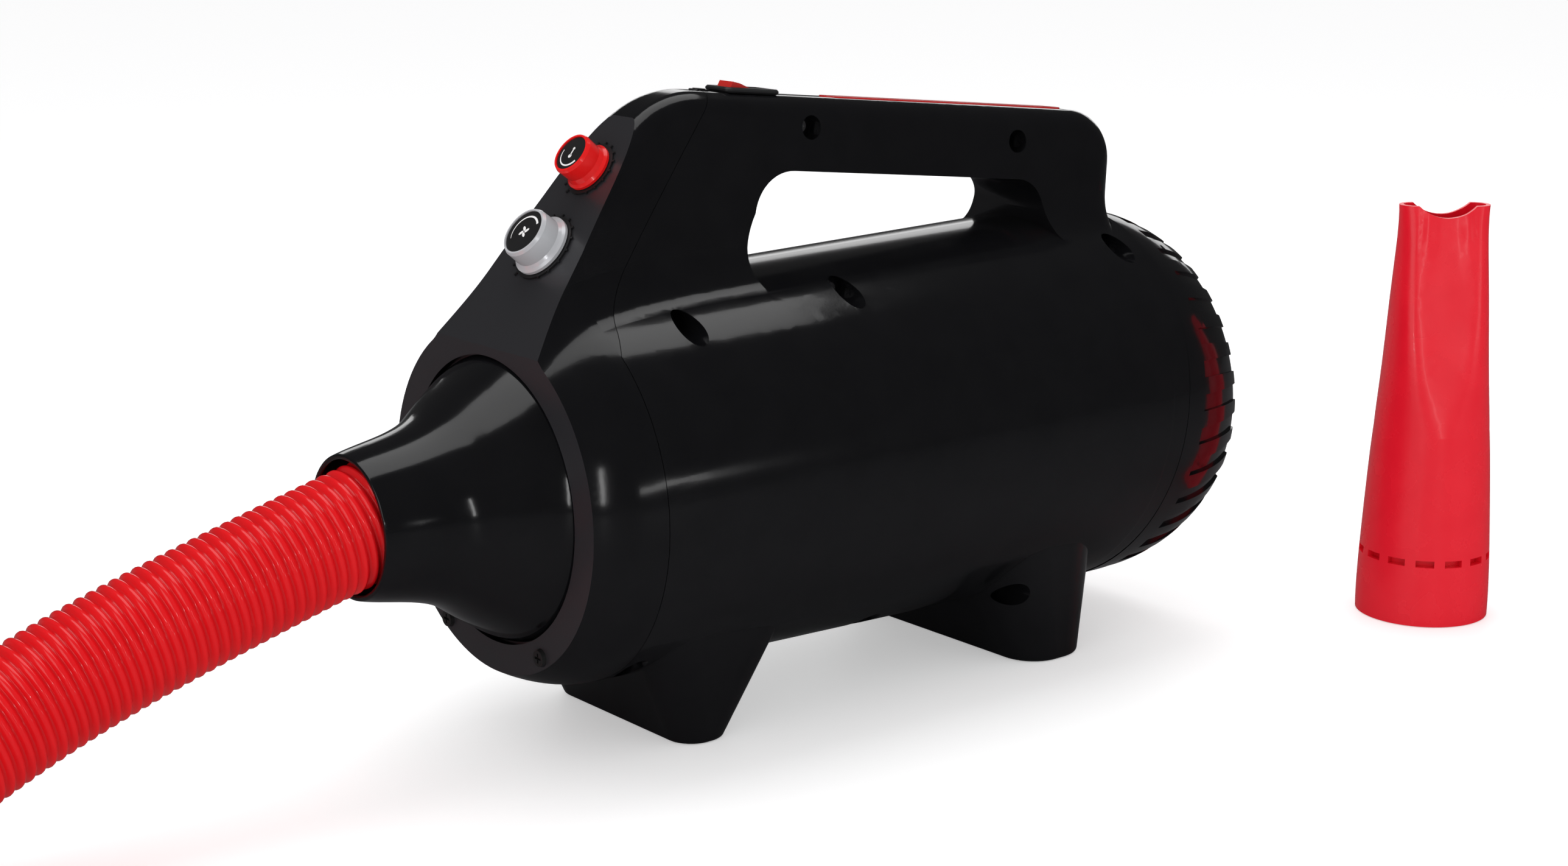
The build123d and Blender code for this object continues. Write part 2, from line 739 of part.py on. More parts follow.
def build_motor_can():
    """The motor's steel can, with a bearing bore in each end and vents round it."""
    bore = AXIS_Z + SHAFT_R + SHAFT_FIT
    outline = (
        (MOTOR_FRONT_X, bore),
        (MOTOR_FRONT_X, AXIS_Z + MOTOR_R - 6),
        (MOTOR_FRONT_X + 5, AXIS_Z + MOTOR_R),
        (MOTOR_REAR_X, AXIS_Z + MOTOR_R),
        (MOTOR_REAR_X, bore),
        (MOTOR_REAR_X - 6, bore),
        (MOTOR_REAR_X - 6, AXIS_Z + MOTOR_R - 2.5),
        (MOTOR_FRONT_X + 6, AXIS_Z + MOTOR_R - 2.5),
        (MOTOR_FRONT_X + 6, bore),
    )
    with BuildPart() as motor_can:
        with BuildSketch(Plane.XZ):
            Polygon(*outline, align=None)
        revolve(axis=BODY_AXIS)
        with BuildSketch(body_plane(MOTOR_FRONT_X - 2)):
            with PolarLocations(25, 6):
                SlotOverall(18, 8)
        extrude(amount=10, mode=Mode.SUBTRACT)
    return motor_can


def build_rotor():
    """Shaft, armature and commutator, turned as one piece."""
    centre = AXIS_Z
    outline = (
        (MOTOR_FRONT_X - 4, centre),
        (MOTOR_FRONT_X - 4, centre + SHAFT_R),
        (48, centre + SHAFT_R),
        (48, centre + 14),
        (64, centre + 14),
        (64, centre + 30),
        (124, centre + 30),
        (124, centre + SHAFT_R),
        (206, centre + SHAFT_R),
        (206, centre),
    )
    return turned(outline)


def build_impeller():
    """A backward-curved radial fan wheel with nine blades between two discs."""
    with BuildPart() as impeller:
        with BuildSketch(body_plane(164)):
            Circle(60)
            Circle(SHAFT_R, mode=Mode.SUBTRACT)
        extrude(amount=2)
        with BuildSketch(body_plane(164)):
            Circle(11)
            Circle(SHAFT_R, mode=Mode.SUBTRACT)
        extrude(amount=30)
        with BuildSketch(body_plane(196)):
            Circle(60)
            Circle(26, mode=Mode.SUBTRACT)
        extrude(amount=2)
        with BuildSketch(body_plane(165)):
            with PolarLocations(41, 9):
                Rectangle(34, 1.8, rotation=28)
        extrude(amount=32)
    return impeller


def build_fan_housing():
    """The drum round the fan wheel, with its inlet at the back and four arms to the motor."""
    with BuildPart() as fan_housing:
        with BuildSketch(body_plane(FAN_FRONT_X)):
            Circle(FAN_R)
            Circle(FAN_R - 2, mode=Mode.SUBTRACT)
        extrude(amount=FAN_REAR_X - FAN_FRONT_X)
        with BuildSketch(body_plane(FAN_REAR_X - 3)):
            Circle(FAN_R)
            Circle(30, mode=Mode.SUBTRACT)
        extrude(amount=3)
        with BuildSketch(body_plane(MOTOR_REAR_X)):
            Circle(24)
            Circle(12, mode=Mode.SUBTRACT)
            with PolarLocations(44, 4, start_angle=45):
                Rectangle(43, 10)
        extrude(amount=5)
    return fan_housing


def build_heater_frame():
    """Two crossed mica plates, notched for the heating wire."""
    with BuildPart() as heater_frame:
        with BuildSketch(body_plane(HEATER_FRONT_X)):
            Rectangle(2 * HEATER_R, 1.2)
            Rectangle(1.2, 2 * HEATER_R)
        extrude(amount=HEATER_LENGTH)
        for x in HEATER_RINGS:
            for ring_r in HEATER_RING_RS:
                add(wire_ring(x, ring_r, WIRE_R), mode=Mode.SUBTRACT)
    return heater_frame


def wire_ring(x, ring_r, wire_r):
    """One turn of heating wire round the axis."""
    with BuildPart() as ring:
        with BuildSketch(Plane.XZ):
            with Locations((x, AXIS_Z + ring_r)):
                Circle(wire_r)
        revolve(axis=BODY_AXIS)
    return ring.part


def build_heater_coil():
    """The turns of heating wire that sit in the frame's notches."""
    with BuildPart() as heater_coil:
        for x in HEATER_RINGS:
            for ring_r in HEATER_RING_RS:
                add(wire_ring(x, ring_r, WIRE_R))
    return heater_coil


# ---------------------------------------------------------------- controls
def knob_axis(rise):
    """The line that a control turns about."""
    face = panel_plane(rise)
    return Axis(face.origin, face.z_dir)


def build_knob(spec):
    """A flanged knob with a round recess in its top."""
    disc_low = spec["disc_low"]
    rim_r = spec["outline"][-1][0]
    with BuildPart() as knob:
        with BuildSketch(panel_section(spec["rise"])):
            Polygon(
                (SPINDLE_R, 1.4),
                *spec["outline"],
                (rim_r, disc_low),
                (SPINDLE_R, disc_low),
                align=None,
            )
        revolve(axis=knob_axis(spec["rise"]))
    return knob


def panel_ring(rise, outer_r, inner_r, low, high):
    """A flat ring or disc that lies parallel to the control panel."""
    with BuildPart() as ring:
        with BuildSketch(panel_plane(rise, low)):
            Circle(outer_r)
            if inner_r:
                Circle(inner_r, mode=Mode.SUBTRACT)
        extrude(amount=high - low)
    return ring


def build_potentiometer(spec):
    """The control behind the panel: a square body and a bushing that the spindle turns in."""
    with BuildPart() as potentiometer:
        with BuildSketch(panel_plane(spec["rise"], -BOARD_DEPTH)):
            RectangleRounded(16, 17, 1)
        extrude(amount=BOARD_DEPTH - 3.3)
        with BuildSketch(panel_plane(spec["rise"], -4)):
            Circle(3.9)
        extrude(amount=5)
        with BuildSketch(panel_plane(spec["rise"], -9.6)):
            Circle(SPINDLE_R + 0.05)
        extrude(amount=12, mode=Mode.SUBTRACT)
    return potentiometer


def build_control_board():
    """The circuit board behind the control panel."""
    with BuildPart() as control_board:
        with BuildSketch(panel_plane(66.0, -BOARD_DEPTH)):
            RectangleRounded(24, 66, 1)
        extrude(amount=-1.6)
    return control_board


def switch_side(lift=0.0):
    """The upright plane along the grip that holds the rocker's outline, seen from the right side."""
    top = grip_plane(SWITCH_X, lift)
    return Plane(origin=top.origin, x_dir=top.x_dir, z_dir=(0, -1, 0))


def build_switch_bezel():
    """The frame round the rocker, on top of the grip."""
    with BuildPart() as switch_bezel:
        with BuildSketch(grip_plane(SWITCH_X)):
            RectangleRounded(31, 18.4, 3)
        extrude(amount=2.4)
        chamfer(switch_bezel.faces().sort_by(Axis.Z)[-1].edges(), length=0.8)
        with BuildSketch(grip_plane(SWITCH_X, -1)):
            Rectangle(*SWITCH_INNER)
        extrude(amount=5, mode=Mode.SUBTRACT)
    return switch_bezel


def build_switch_body():
    """The open-topped box of the switch, with a pivot hole in each long side."""
    with BuildPart() as switch_body:
        with BuildSketch(grip_plane(SWITCH_X, -0.1)):
            Rectangle(26.2, 12.2)
        extrude(amount=-20)
        with BuildSketch(grip_plane(SWITCH_X, 0)):
            Rectangle(*SWITCH_INNER)
        extrude(amount=-18, mode=Mode.SUBTRACT)
        with BuildSketch(switch_side()):
            with Locations((0, SWITCH_PIVOT)):
                Circle(1.05)
        extrude(amount=10, both=True, mode=Mode.SUBTRACT)
        for u in (-7, 0, 7):
            with BuildSketch(grip_plane(SWITCH_X + u, -20.1)):
                Rectangle(0.8, 4.8)
            extrude(amount=-7)
    return switch_body


def build_switch_rocker():
    """The rocker with its raised front end and its two pivot pins."""
    with BuildPart() as switch_rocker:
        with BuildSketch(switch_side()):
            Polygon(*ROCKER_OUTLINE, align=None)
        extrude(amount=4.85, both=True)
        with BuildSketch(switch_side()):
            with Locations((0, SWITCH_PIVOT)):
                Circle(1.0)
        extrude(amount=5.9, both=True)
    return switch_rocker


# ---------------------------------------------------------------- screws and gland
def screw(plane, head_r, head_height, length):
    """A cross-recessed screw: its head stands on the plane and its shank goes down from it."""
    with BuildPart(mode=Mode.PRIVATE) as made:
        with BuildSketch(plane):
            Circle(head_r)
        extrude(amount=head_height, taper=14)
        with BuildSketch(plane):
            Circle(SCREW_R)
        extrude(amount=-length)
        with BuildSketch(plane.offset(head_height - 1.1)):
            Rectangle(head_r * 1.1, head_r * 0.26)
            Rectangle(head_r * 0.26, head_r * 1.1)
        extrude(amount=3, mode=Mode.SUBTRACT)
    return made.part


def build_housing_screws():
    """The screws that hold the two halves together."""
    with BuildPart() as housing_screws:
        for x, z, well_r, floor in SCREW_WELLS:
            add(screw(side_plane(x, z, floor), 3.5, 2.4, -floor + 11))
    return housing_screws


def build_cover_screws():
    """The two screws in the front ring."""
    with BuildPart() as cover_screws:
        for y, up in RING_SCREWS:
            face = Plane(origin=(RING_X, y, AXIS_Z + up), x_dir=(0, 1, 0), z_dir=(-1, 0, 0))
            add(screw(face, 4.05, 1.8, 9))
    return cover_screws


def build_top_screw():
    """The screw in front of the switch."""
    with BuildPart() as top_screw:
        add(screw(grip_plane(TOP_SCREW_X, -0.6), 3.3, 1.6, 7))
    return top_screw


def build_cord_gland():
    """The collar that the power cord would come out of, on the right side."""
    outward = Plane(origin=(GLAND_X, 0, AXIS_Z), x_dir=(1, 0, 0), z_dir=(0, 1, 0))
    with BuildPart() as cord_gland:
        with BuildSketch(outward.offset(88)):
            Circle(13)
        extrude(amount=10.5)
        chamfer(cord_gland.edges().group_by(Axis.Y)[-1], length=1.6)
        add(barrel(-0.06), mode=Mode.SUBTRACT)
        with BuildSketch(outward.offset(84)):
            Circle(8.8)
        extrude(amount=14)
        with BuildSketch(outward.offset(80)):
            Circle(4.0)
        extrude(amount=30, mode=Mode.SUBTRACT)
    return cord_gland


# ---------------------------------------------------------------- hose
def route_radii(route):
    """One radius per corner, as large as the two runs at that corner allow."""
    points = [Vector(*point) for point in route]
    radii = []
    for before, corner, after in zip(points, points[1:], points[2:]):
        turn = (corner - before).get_angle(after - corner)
        shorter = min((corner - before).length, (after - corner).length)
        radii.append(0.45 * shorter / tan(radians(turn) / 2))
    return radii


def build_hose_tube():
    """The stretch of hose from the nose down to the floor."""
    radii = route_radii(HOSE_ROUTE)
    with BuildPart() as hose_tube:
        with BuildLine() as path:
            FilletPolyline(*HOSE_ROUTE, radius=radii)
        with BuildSketch(Plane(origin=path.line @ 0, z_dir=path.line % 0)):
            Circle(HOSE_R)
            Circle(HOSE_R - HOSE_WALL, mode=Mode.SUBTRACT)
        sweep(path=path.line)
    length = sum(edge.length for edge in path.line.edges())
    section = pi * (HOSE_R**2 - (HOSE_R - HOSE_WALL) ** 2)
    print("hose radii", [round(radius) for radius in radii], "length", round(length, 1))
    print("hose volume", round(hose_tube.part.volume), "section x length", round(section * length))
    return hose_tube


def coil_end(share=1.0):
    """Where the coil is after a share of its turn, clockwise seen from above, and its heading there."""
    before, start = HOSE_ROUTE[-2:]
    heading = atan2(start[1] - before[1], start[0] - before[0])
    centre = (start[0] + COIL_R * sin(heading), start[1] - COIL_R * cos(heading))
    heading -= radians(COIL_ANGLE) * share
    return (centre[0] - COIL_R * sin(heading), centre[1] + COIL_R * cos(heading), HOSE_LEVEL), heading


def build_hose_coil():
    """The rest of the hose, coiled flat on the floor, as one solid of its outer shape."""
    with BuildPart() as hose_coil:
        with BuildLine() as path:
            ThreePointArc(*[coil_end(share)[0] for share in (0.0, 0.5, 1.0)])
        with BuildSketch(Plane(origin=path.line @ 0, z_dir=path.line % 0)):
            Circle(HOSE_R)
        sweep(path=path.line)
    print("coil length", round(sum(edge.length for edge in path.line.edges()), 1))
    return hose_coil


def build_hose_cuff():
    """The smooth end piece of the hose, which a nozzle pushes onto."""
    end, heading = coil_end()
    along = (cos(heading), sin(heading), 0)
    with BuildPart() as hose_cuff:
        with BuildSketch(Plane(origin=end, z_dir=along)):
            Circle(CUFF_R)
        extrude(amount=CUFF_LENGTH)
        with BuildSketch(Plane(origin=end, z_dir=along).offset(6)):
            Circle(CUFF_R - 3.5)
        extrude(amount=CUFF_LENGTH, mode=Mode.SUBTRACT)
    return hose_cuff


# ---------------------------------------------------------------- nozzle
def nozzle_outline(width, flat, depth, share):
    """The nozzle's outline at one height: between an ellipse and a form with a flat front and back."""
    steps = [(15 * step, 1.0, 12.5 * step) for step in range(7)] + [(90, 0.5, 82.5), (90, 0.0, 90)]
    right = []
    for turn, along, plain in steps:
        flat_x = flat * along + (width - flat) * cos(radians(turn))
        x = share * flat_x + (1 - share) * width * cos(radians(plain))
        y = depth * (share * sin(radians(turn)) + (1 - share) * sin(radians(plain)))
        right.append((x, y))
    upper = right + [(-x, y) for x, y in right[-2::-1]]
    return upper + [(-x, -y) for x, y in upper[1:-1]]


def nozzle_plane(z):
    """A level plane on the nozzle's axis, turned with the nozzle."""
    turn = radians(NOZZLE_TURN)
    return Plane(origin=(*NOZZLE_XY, z), x_dir=(cos(turn), sin(turn), 0), z_dir=(0, 0, 1))


def nozzle_r(z):
    """Outer radius of the nozzle's round lower part at height z."""
    for (low, low_r), (high, high_r) in zip(NOZZLE_BARREL, NOZZLE_BARREL[1:]):
        if z <= high:
            break
    return low_r + (z - low) / (high - low) * (high_r - low_r)


def nozzle_loft(stations, inset):
    """A loft through the nozzle's outlines at the stations, made smaller all round by inset."""
    with BuildPart() as form:
        for z, width, flat, depth, share in stations:
            with BuildSketch(nozzle_plane(z)):
                with BuildLine():
                    Spline(*nozzle_outline(width - inset, flat, depth - inset, share), periodic=True)
                make_face()
        loft()
    return form.part


def nozzle_solid(inset, low, top):
    """The nozzle's outer form, or its inside when inset: round below and flattened towards the mouth."""
    levels = [low] + [z for z, radius in NOZZLE_BARREL if z > low + 4]
    barrel_stations = [(z, nozzle_r(z), 8.0, nozzle_r(z), 0.0) for z in levels]
    blade_stations = list(NOZZLE_BLADE[:-1]) + [(top, *NOZZLE_BLADE[-1][1:])]
    with BuildPart() as whole:
        add(nozzle_loft(barrel_stations, inset))
        add(nozzle_loft(blade_stations, inset))
    return whole.part


def build_nozzle():
    """The flat nozzle: a round socket below, a flattened slot above and a ring of relief slots."""
    with BuildPart() as nozzle:
        add(nozzle_solid(0, 0, NOZZLE_H))
        add(nozzle_solid(NOZZLE_WALL, SOCKET_DEPTH + 1, NOZZLE_H + 0.01), mode=Mode.SUBTRACT)
        with BuildSketch(nozzle_plane(-1)):
            Circle(SOCKET_R)
        extrude(amount=SOCKET_DEPTH + 3, mode=Mode.SUBTRACT)
        # the saddle across the mouth
        across = nozzle_plane(NOZZLE_H + 14.5)
        with BuildSketch(Plane(origin=across.origin, x_dir=across.x_dir, z_dir=across.y_dir)):
            Circle(20.5)
        extrude(amount=30, both=True, mode=Mode.SUBTRACT)
        # relief slots
        with BuildSketch(nozzle_plane(31.2)):
            with PolarLocations(33, 14):
                Rectangle(9, 9.3)
        extrude(amount=3.6, mode=Mode.SUBTRACT)
    return nozzle


def build_all():
    """Every sub-part by name."""
    front_cover, left_housing, right_housing = build_case()
    parts = dict(front_cover=front_cover, left_housing=left_housing, right_housing=right_housing)
    parts["nose_cone"] = build_nose_cone()
    parts["hose_collar"] = build_hose_collar()
    parts["rear_cap"] = build_rear_cap()
    parts["filter_frame"] = build_filter_frame()
    parts["filter_foam"] = disc_part(FILTER_X + 3.2, 77.0, 0, 14)
    parts["grip_strip"] = build_strip()
    parts["motor_can"] = build_motor_can()
    parts["motor_mount_front"] = disc_part(BRACE_XS[0], BRACE_RING_R, MOTOR_R, BRACE_LENGTH)
    parts["motor_mount_rear"] = disc_part(BRACE_XS[1], BRACE_RING_R, MOTOR_R, BRACE_LENGTH)
    parts["rotor"] = build_rotor()
    parts["impeller"] = build_impeller()
    parts["fan_housing"] = build_fan_housing()
    parts["fan_seal"] = disc_part(196, 90.0, FAN_R, 6)
    parts["heater_duct"] = disc_part(RING_X + 8, 59.2, 58.0, 98)
    parts["heater_frame"] = build_heater_frame()
    parts["heater_coil"] = build_heater_coil()
    for name, spec in KNOBS.items():
        rise = spec["rise"]
        parts[f"{name}_knob"] = build_knob(spec)
        parts[f"{name}_knob_cap"] = panel_ring(rise, spec["disc_r"], 0, spec["disc_low"], spec["disc_top"])
        parts[f"{name}_dial_ring"] = panel_ring(rise, spec["ring_r"], 4.4, 0, 1.0)
        parts[f"{name}_shaft"] = panel_ring(rise, SPINDLE_R, 0, -9.2, spec["disc_low"])
        parts[f"{name}_potentiometer"] = build_potentiometer(spec)
    parts["control_board"] = build_control_board()
    parts["switch_bezel"] = build_switch_bezel()
    parts["switch_body"] = build_switch_body()
    parts["switch_rocker"] = build_switch_rocker()
    parts["housing_screws"] = build_housing_screws()
    parts["cover_screws"] = build_cover_screws()
    parts["top_screw"] = build_top_screw()
    parts["cord_gland"] = build_cord_gland()
    parts["hose_tube"] = build_hose_tube()
    parts["hose_coil"] = build_hose_coil()
    parts["hose_cuff"] = build_hose_cuff()
    parts["nozzle"] = build_nozzle()
    return parts


def build_strip():
    """The red inlay along the top of the grip."""
    with BuildPart() as grip_strip:
        add(strip_block())
    return grip_strip


if __name__ == "__main__":
    os.makedirs("parts", exist_ok=True)
    for part_name, made in build_all().items():
        save(part_name, made)
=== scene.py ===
"""Pet dryer: the looks of the blower, its hose and its loose nozzle, built round the CAD frame."""

import json
import math

import bpy
from mathutils import Matrix, Vector


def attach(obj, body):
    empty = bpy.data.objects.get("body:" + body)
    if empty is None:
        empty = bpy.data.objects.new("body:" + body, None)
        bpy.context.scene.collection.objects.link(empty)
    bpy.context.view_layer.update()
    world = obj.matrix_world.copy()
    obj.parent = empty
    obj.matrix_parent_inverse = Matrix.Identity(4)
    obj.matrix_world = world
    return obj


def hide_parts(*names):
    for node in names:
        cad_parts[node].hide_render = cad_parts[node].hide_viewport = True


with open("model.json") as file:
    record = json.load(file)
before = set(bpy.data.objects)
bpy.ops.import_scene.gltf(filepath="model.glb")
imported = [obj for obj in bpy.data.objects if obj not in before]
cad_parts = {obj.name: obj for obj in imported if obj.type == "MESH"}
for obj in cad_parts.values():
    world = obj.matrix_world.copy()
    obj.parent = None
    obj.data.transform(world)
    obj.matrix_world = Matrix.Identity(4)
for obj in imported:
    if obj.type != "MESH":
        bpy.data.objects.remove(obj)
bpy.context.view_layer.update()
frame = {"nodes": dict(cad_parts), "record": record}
nodes = frame["nodes"]

# ---------------------------------------------------------------- sizes, in metres, as in the CAD model
AXIS_Z = 0.115
MOUTH_X = -0.150
RING_X = MOUTH_X + 0.0705
PANEL_LEAN = math.radians(38.5)
PANEL_FOOT_Z = AXIS_Z + 0.068
PANEL_NORMAL = Vector((-math.cos(PANEL_LEAN), 0, math.sin(PANEL_LEAN)))
PANEL_UP = Vector((math.sin(PANEL_LEAN), 0, math.cos(PANEL_LEAN)))
PANEL_RIGHT = Vector((0, -1, 0))
SPEED_RISE = 0.050
SPEED_TOP = 0.01331
HEAT_RISE = 0.0905
HEAT_TOP = 0.01311
GRIP_FRONT = (0.030, AXIS_Z + 0.170)
GRIP_REAR = (0.286, AXIS_Z + 0.1432)
GRIP_SLOPE = math.atan2(GRIP_REAR[1] - GRIP_FRONT[1], GRIP_REAR[0] - GRIP_FRONT[0])
ROCKER_X = 0.0605
ROCKER_LIFT = 0.0025
ROCKER_TILT = math.radians(18.1)

HOSE_R = 0.0255
HOSE_ROUTE = (
    (-0.120, 0, 0.1218),
    (-0.205, 0, 0.0998),
    (-0.293, 0, 0.0718),
    (-0.365, -0.012, 0.043),
    (-0.435, -0.038, 0.026),
    (-0.502, -0.058, 0.026),
)
TURN_R = 0.2555
TURN_STEP = math.radians(30)
TURN_CORNERS = 10

# ---------------------------------------------------------------- sizes that only the looks have
HOSE_PITCH = 0.0051
HOSE_RIB = 0.0022
STEPS_PER_RIB = 8
HOSE_SPOKES = 48
MARK_HEIGHT = 0.00006
LINE_HEIGHT = 0.00008
TICK_HEIGHT = 0.0009
TICK_COUNT = 15
TICK_HALF_WIDTH = 0.00045
SHARP_ANGLE = math.radians(32)
NOISE_SCALE = 60.0
GRAIN_SCALE = 14 * NOISE_SCALE
COLOUR_SPREAD = 0.06
ROUGHNESS_SPREAD = 0.15

CAMERA_PLACE = (-0.6589, -0.9064, 0.4030)
CAMERA_DOWN = math.radians(13.58)
CAMERA_TURN = math.radians(39.383)
CAMERA_LENS = 58.56
FLOOR_HALF_WIDTH = 6.0
FLOOR_DROP = 0.0003
FLOOR_COLOUR = (0.9, 0.9, 0.905, 1)
FLOOR_IN_GLOSS = (0.10, 0.10, 0.105, 1)
WHITE = (1, 1, 1, 1)


# ---------------------------------------------------------------- camera, floor and light
def add_camera():
    """The photograph's viewing angle: from the front left and a little above."""
    data = bpy.data.cameras.new("camera")
    data.lens = CAMERA_LENS
    data.sensor_width = 36.0
    camera = bpy.data.objects.new("camera", data)
    bpy.context.scene.collection.objects.link(camera)
    camera.location = CAMERA_PLACE
    camera.rotation_euler = (math.pi / 2 - CAMERA_DOWN, 0, -CAMERA_TURN)
    bpy.context.scene.camera = camera


def by_ray(tree, base, camera, glossy):
    """A value that differs for what the camera sees directly and for what gloss reflects."""
    rays = tree.nodes.new("ShaderNodeLightPath")
    value = None
    for output, amount in (("Is Camera Ray", camera - base), ("Is Glossy Ray", glossy - base)):
        step = tree.nodes.new("ShaderNodeMath")
        step.operation = "MULTIPLY_ADD"
        tree.links.new(rays.outputs[output], step.inputs[0])
        step.inputs[1].default_value = amount
        step.inputs[2].default_value = base
        if value:
            tree.links.new(value, step.inputs[2])
        value = step.outputs[0]
    return value


def floor_material():
    """White to the camera, and dark in what the gloss reflects."""
    material = bpy.data.materials.new("floor")
    material.use_nodes = True
    tree = material.node_tree
    shader = tree.nodes["Principled BSDF"]
    shader.inputs["Roughness"].default_value = 0.5
    shader.inputs["Emission Color"].default_value = WHITE
    tree.links.new(by_ray(tree, base=0.05, camera=0.38, glossy=0.0), shader.inputs["Emission Strength"])
    shade = tree.nodes.new("ShaderNodeMix")
    shade.data_type = "RGBA"
    shade.inputs["A"].default_value = FLOOR_COLOUR
    shade.inputs["B"].default_value = FLOOR_IN_GLOSS
    tree.links.new(by_ray(tree, base=0.0, camera=0.0, glossy=1.0), shade.inputs["Factor"])
    tree.links.new(shade.outputs["Result"], shader.inputs["Base Color"])
    return material


def add_floor():
    """One large square under the part."""
    mesh = bpy.data.meshes.new("floor")
    half = FLOOR_HALF_WIDTH
    corners = [(-half, -half, 0), (half, -half, 0), (half, half, 0), (-half, half, 0)]
    mesh.from_pydata(corners, [], [(0, 1, 2, 3)])
    mesh.materials.append(floor_material())
    floor = bpy.data.objects.new("floor", mesh)
    bpy.context.scene.collection.objects.link(floor)
    floor.location = (0, 0, -FLOOR_DROP)
    return floor


def area_light(name, location, target, size, power):
    """A soft rectangular lamp that looks at a point."""
    data = bpy.data.lights.new(name, "AREA")
    data.shape = "RECTANGLE"
    data.size, data.size_y = size
    data.energy = power
    lamp = bpy.data.objects.new(name, data)
    bpy.context.scene.collection.objects.link(lamp)
    lamp.location = location
    lamp.rotation_euler = (Vector(target) - Vector(location)).to_track_quat("-Z", "Y").to_euler()
    return lamp


def add_world():
    """Plain white surroundings, dim in what the gloss reflects."""
    world = bpy.data.worlds.new("studio")
    world.use_nodes = True
    tree = world.node_tree
    background = tree.nodes["Background"]
    background.inputs["Color"].default_value = WHITE
    tree.links.new(by_ray(tree, base=0.85, camera=1.0, glossy=0.035), background.inputs["Strength"])
    bpy.context.scene.world = world


def add_studio():
    """A pale floor, soft lamps and plain surroundings."""
    floor = add_floor()
    lamps = [
        area_light("key", (-1.5, -0.9, 0.32), (-0.1, 0, 0.12), (0.16, 0.10), 0.9),
        area_light("tall", (-1.6, -0.2, 0.6), (0.0, 0, 0.15), (0.9, 0.9), 2.4),
        area_light("side", (0.6, -1.8, 0.35), (0.1, 0, 0.12), (0.9, 0.10), 0.7),
        area_light("ridge", (-0.7, -1.9, 0.55), (0.35, -0.1, 0.12), (0.10, 0.7), 1.2),
        area_light("top", (0.1, 0.3, 1.5), (0.1, 0, 0.1), (2.0, 0.9), 7),
        area_light("back", (1.35, 1.45, 0.62), (0.1, 0, 0.2), (2.2, 0.45), 4),
    ]
    add_world()
    bpy.context.scene.view_settings.view_transform = "Standard"


# ---------------------------------------------------------------- hose
def turn_points():
    """Control points of the open turn that the hose makes on the floor, out of view on the left."""
    before, start = HOSE_ROUTE[-2:]
    heading = math.atan2(start[1] - before[1], start[0] - before[0])
    centre_x = start[0] + TURN_R * math.sin(heading)
    centre_y = start[1] - TURN_R * math.cos(heading)
    # the spline runs inside its control points, at these shares of their radius
    midway = math.cos(TURN_STEP / 2)
    beside = 0.75 + 0.25 * math.cos(TURN_STEP)
    corner_r = TURN_R / ((midway + beside) / 2)
    places = [(corner_r, heading - TURN_STEP * (number + 0.5)) for number in range(TURN_CORNERS)]
    places.append((TURN_R, heading - TURN_STEP * TURN_CORNERS))
    points = []
    for radius, way in places:
        x = centre_x - radius * math.sin(way)
        y = centre_y + radius * math.cos(way)
        points.append((round(x, 4), round(y, 4), start[2]))
    return tuple(points)


def smooth_line(route):
    """Points along the smooth spline that the route's points control."""
    data = bpy.data.curves.new("hose_line", "CURVE")
    data.dimensions = "3D"
    data.resolution_u = 64
    spline = data.splines.new("NURBS")
    spline.points.add(len(route) - 1)
    for control, point in zip(spline.points, route):
        control.co = (*point, 1.0)
    spline.order_u = 3
    spline.use_endpoint_u = True
    curve = bpy.data.objects.new("hose_line", data)
    mesh = bpy.data.meshes.new_from_object(curve)
    line = [vertex.co.copy() for vertex in mesh.vertices]
    bpy.data.meshes.remove(mesh)
    bpy.data.objects.remove(curve)
    return line


def spaced(line, step):
    """The same line as evenly spaced points."""
    lengths = [0.0]
    for a, b in zip(line, line[1:]):
        lengths.append(lengths[-1] + (b - a).length)
    count = round(lengths[-1] / step)
    points, at = [], 0
    for number in range(count + 1):
        want = lengths[-1] * number / count
        while at < len(line) - 2 and lengths[at + 1] < want:
            at += 1
        share = (want - lengths[at]) / max(lengths[at + 1] - lengths[at], 1e-9)
        points.append(line[at].lerp(line[at + 1], share))
    return points


def ribbed_tube(points):
    """Corners and faces of a tube along the points, with one rib that winds round it."""
    verts, faces = [], []
    up = Vector((0, 0, 1))
    travelled = 0.0
    for number, point in enumerate(points):
        ahead = points[min(number + 1, len(points) - 1)] - points[max(number - 1, 0)]
        tangent = ahead.normalized()
        side = tangent.cross(up).normalized()
        top = side.cross(tangent)
        if number:
            travelled += (point - points[number - 1]).length
        for spoke in range(HOSE_SPOKES):
            turn = 2 * math.pi * spoke / HOSE_SPOKES
            wave = 0.5 - 0.5 * math.cos(2 * math.pi * (travelled / HOSE_PITCH - spoke / HOSE_SPOKES))
            radius = HOSE_R - HOSE_RIB * wave**1.5
            verts.append(point + side * (radius * math.cos(turn)) + top * (radius * math.sin(turn)))
    for ring in range(len(points) - 1):
        for spoke in range(HOSE_SPOKES):
            a = ring * HOSE_SPOKES + spoke
            b = ring * HOSE_SPOKES + (spoke + 1) % HOSE_SPOKES
            faces.append((a, b, b + HOSE_SPOKES, a + HOSE_SPOKES))
    return verts, faces


def add_hose(material):
    """The spirally ribbed hose, as one tube from the nose to the cuff."""
    points = spaced(smooth_line(HOSE_ROUTE + turn_points()), HOSE_PITCH / STEPS_PER_RIB)
    verts, faces = ribbed_tube(points)
    mesh = bpy.data.meshes.new("hose")
    mesh.from_pydata(verts, [], faces)
    mesh.shade_smooth()
    mesh.materials.append(material)
    hose = bpy.data.objects.new("hose", mesh)
    bpy.context.scene.collection.objects.link(hose)
    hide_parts("hose_tube", "hose_coil")
    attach(hose, "blower")


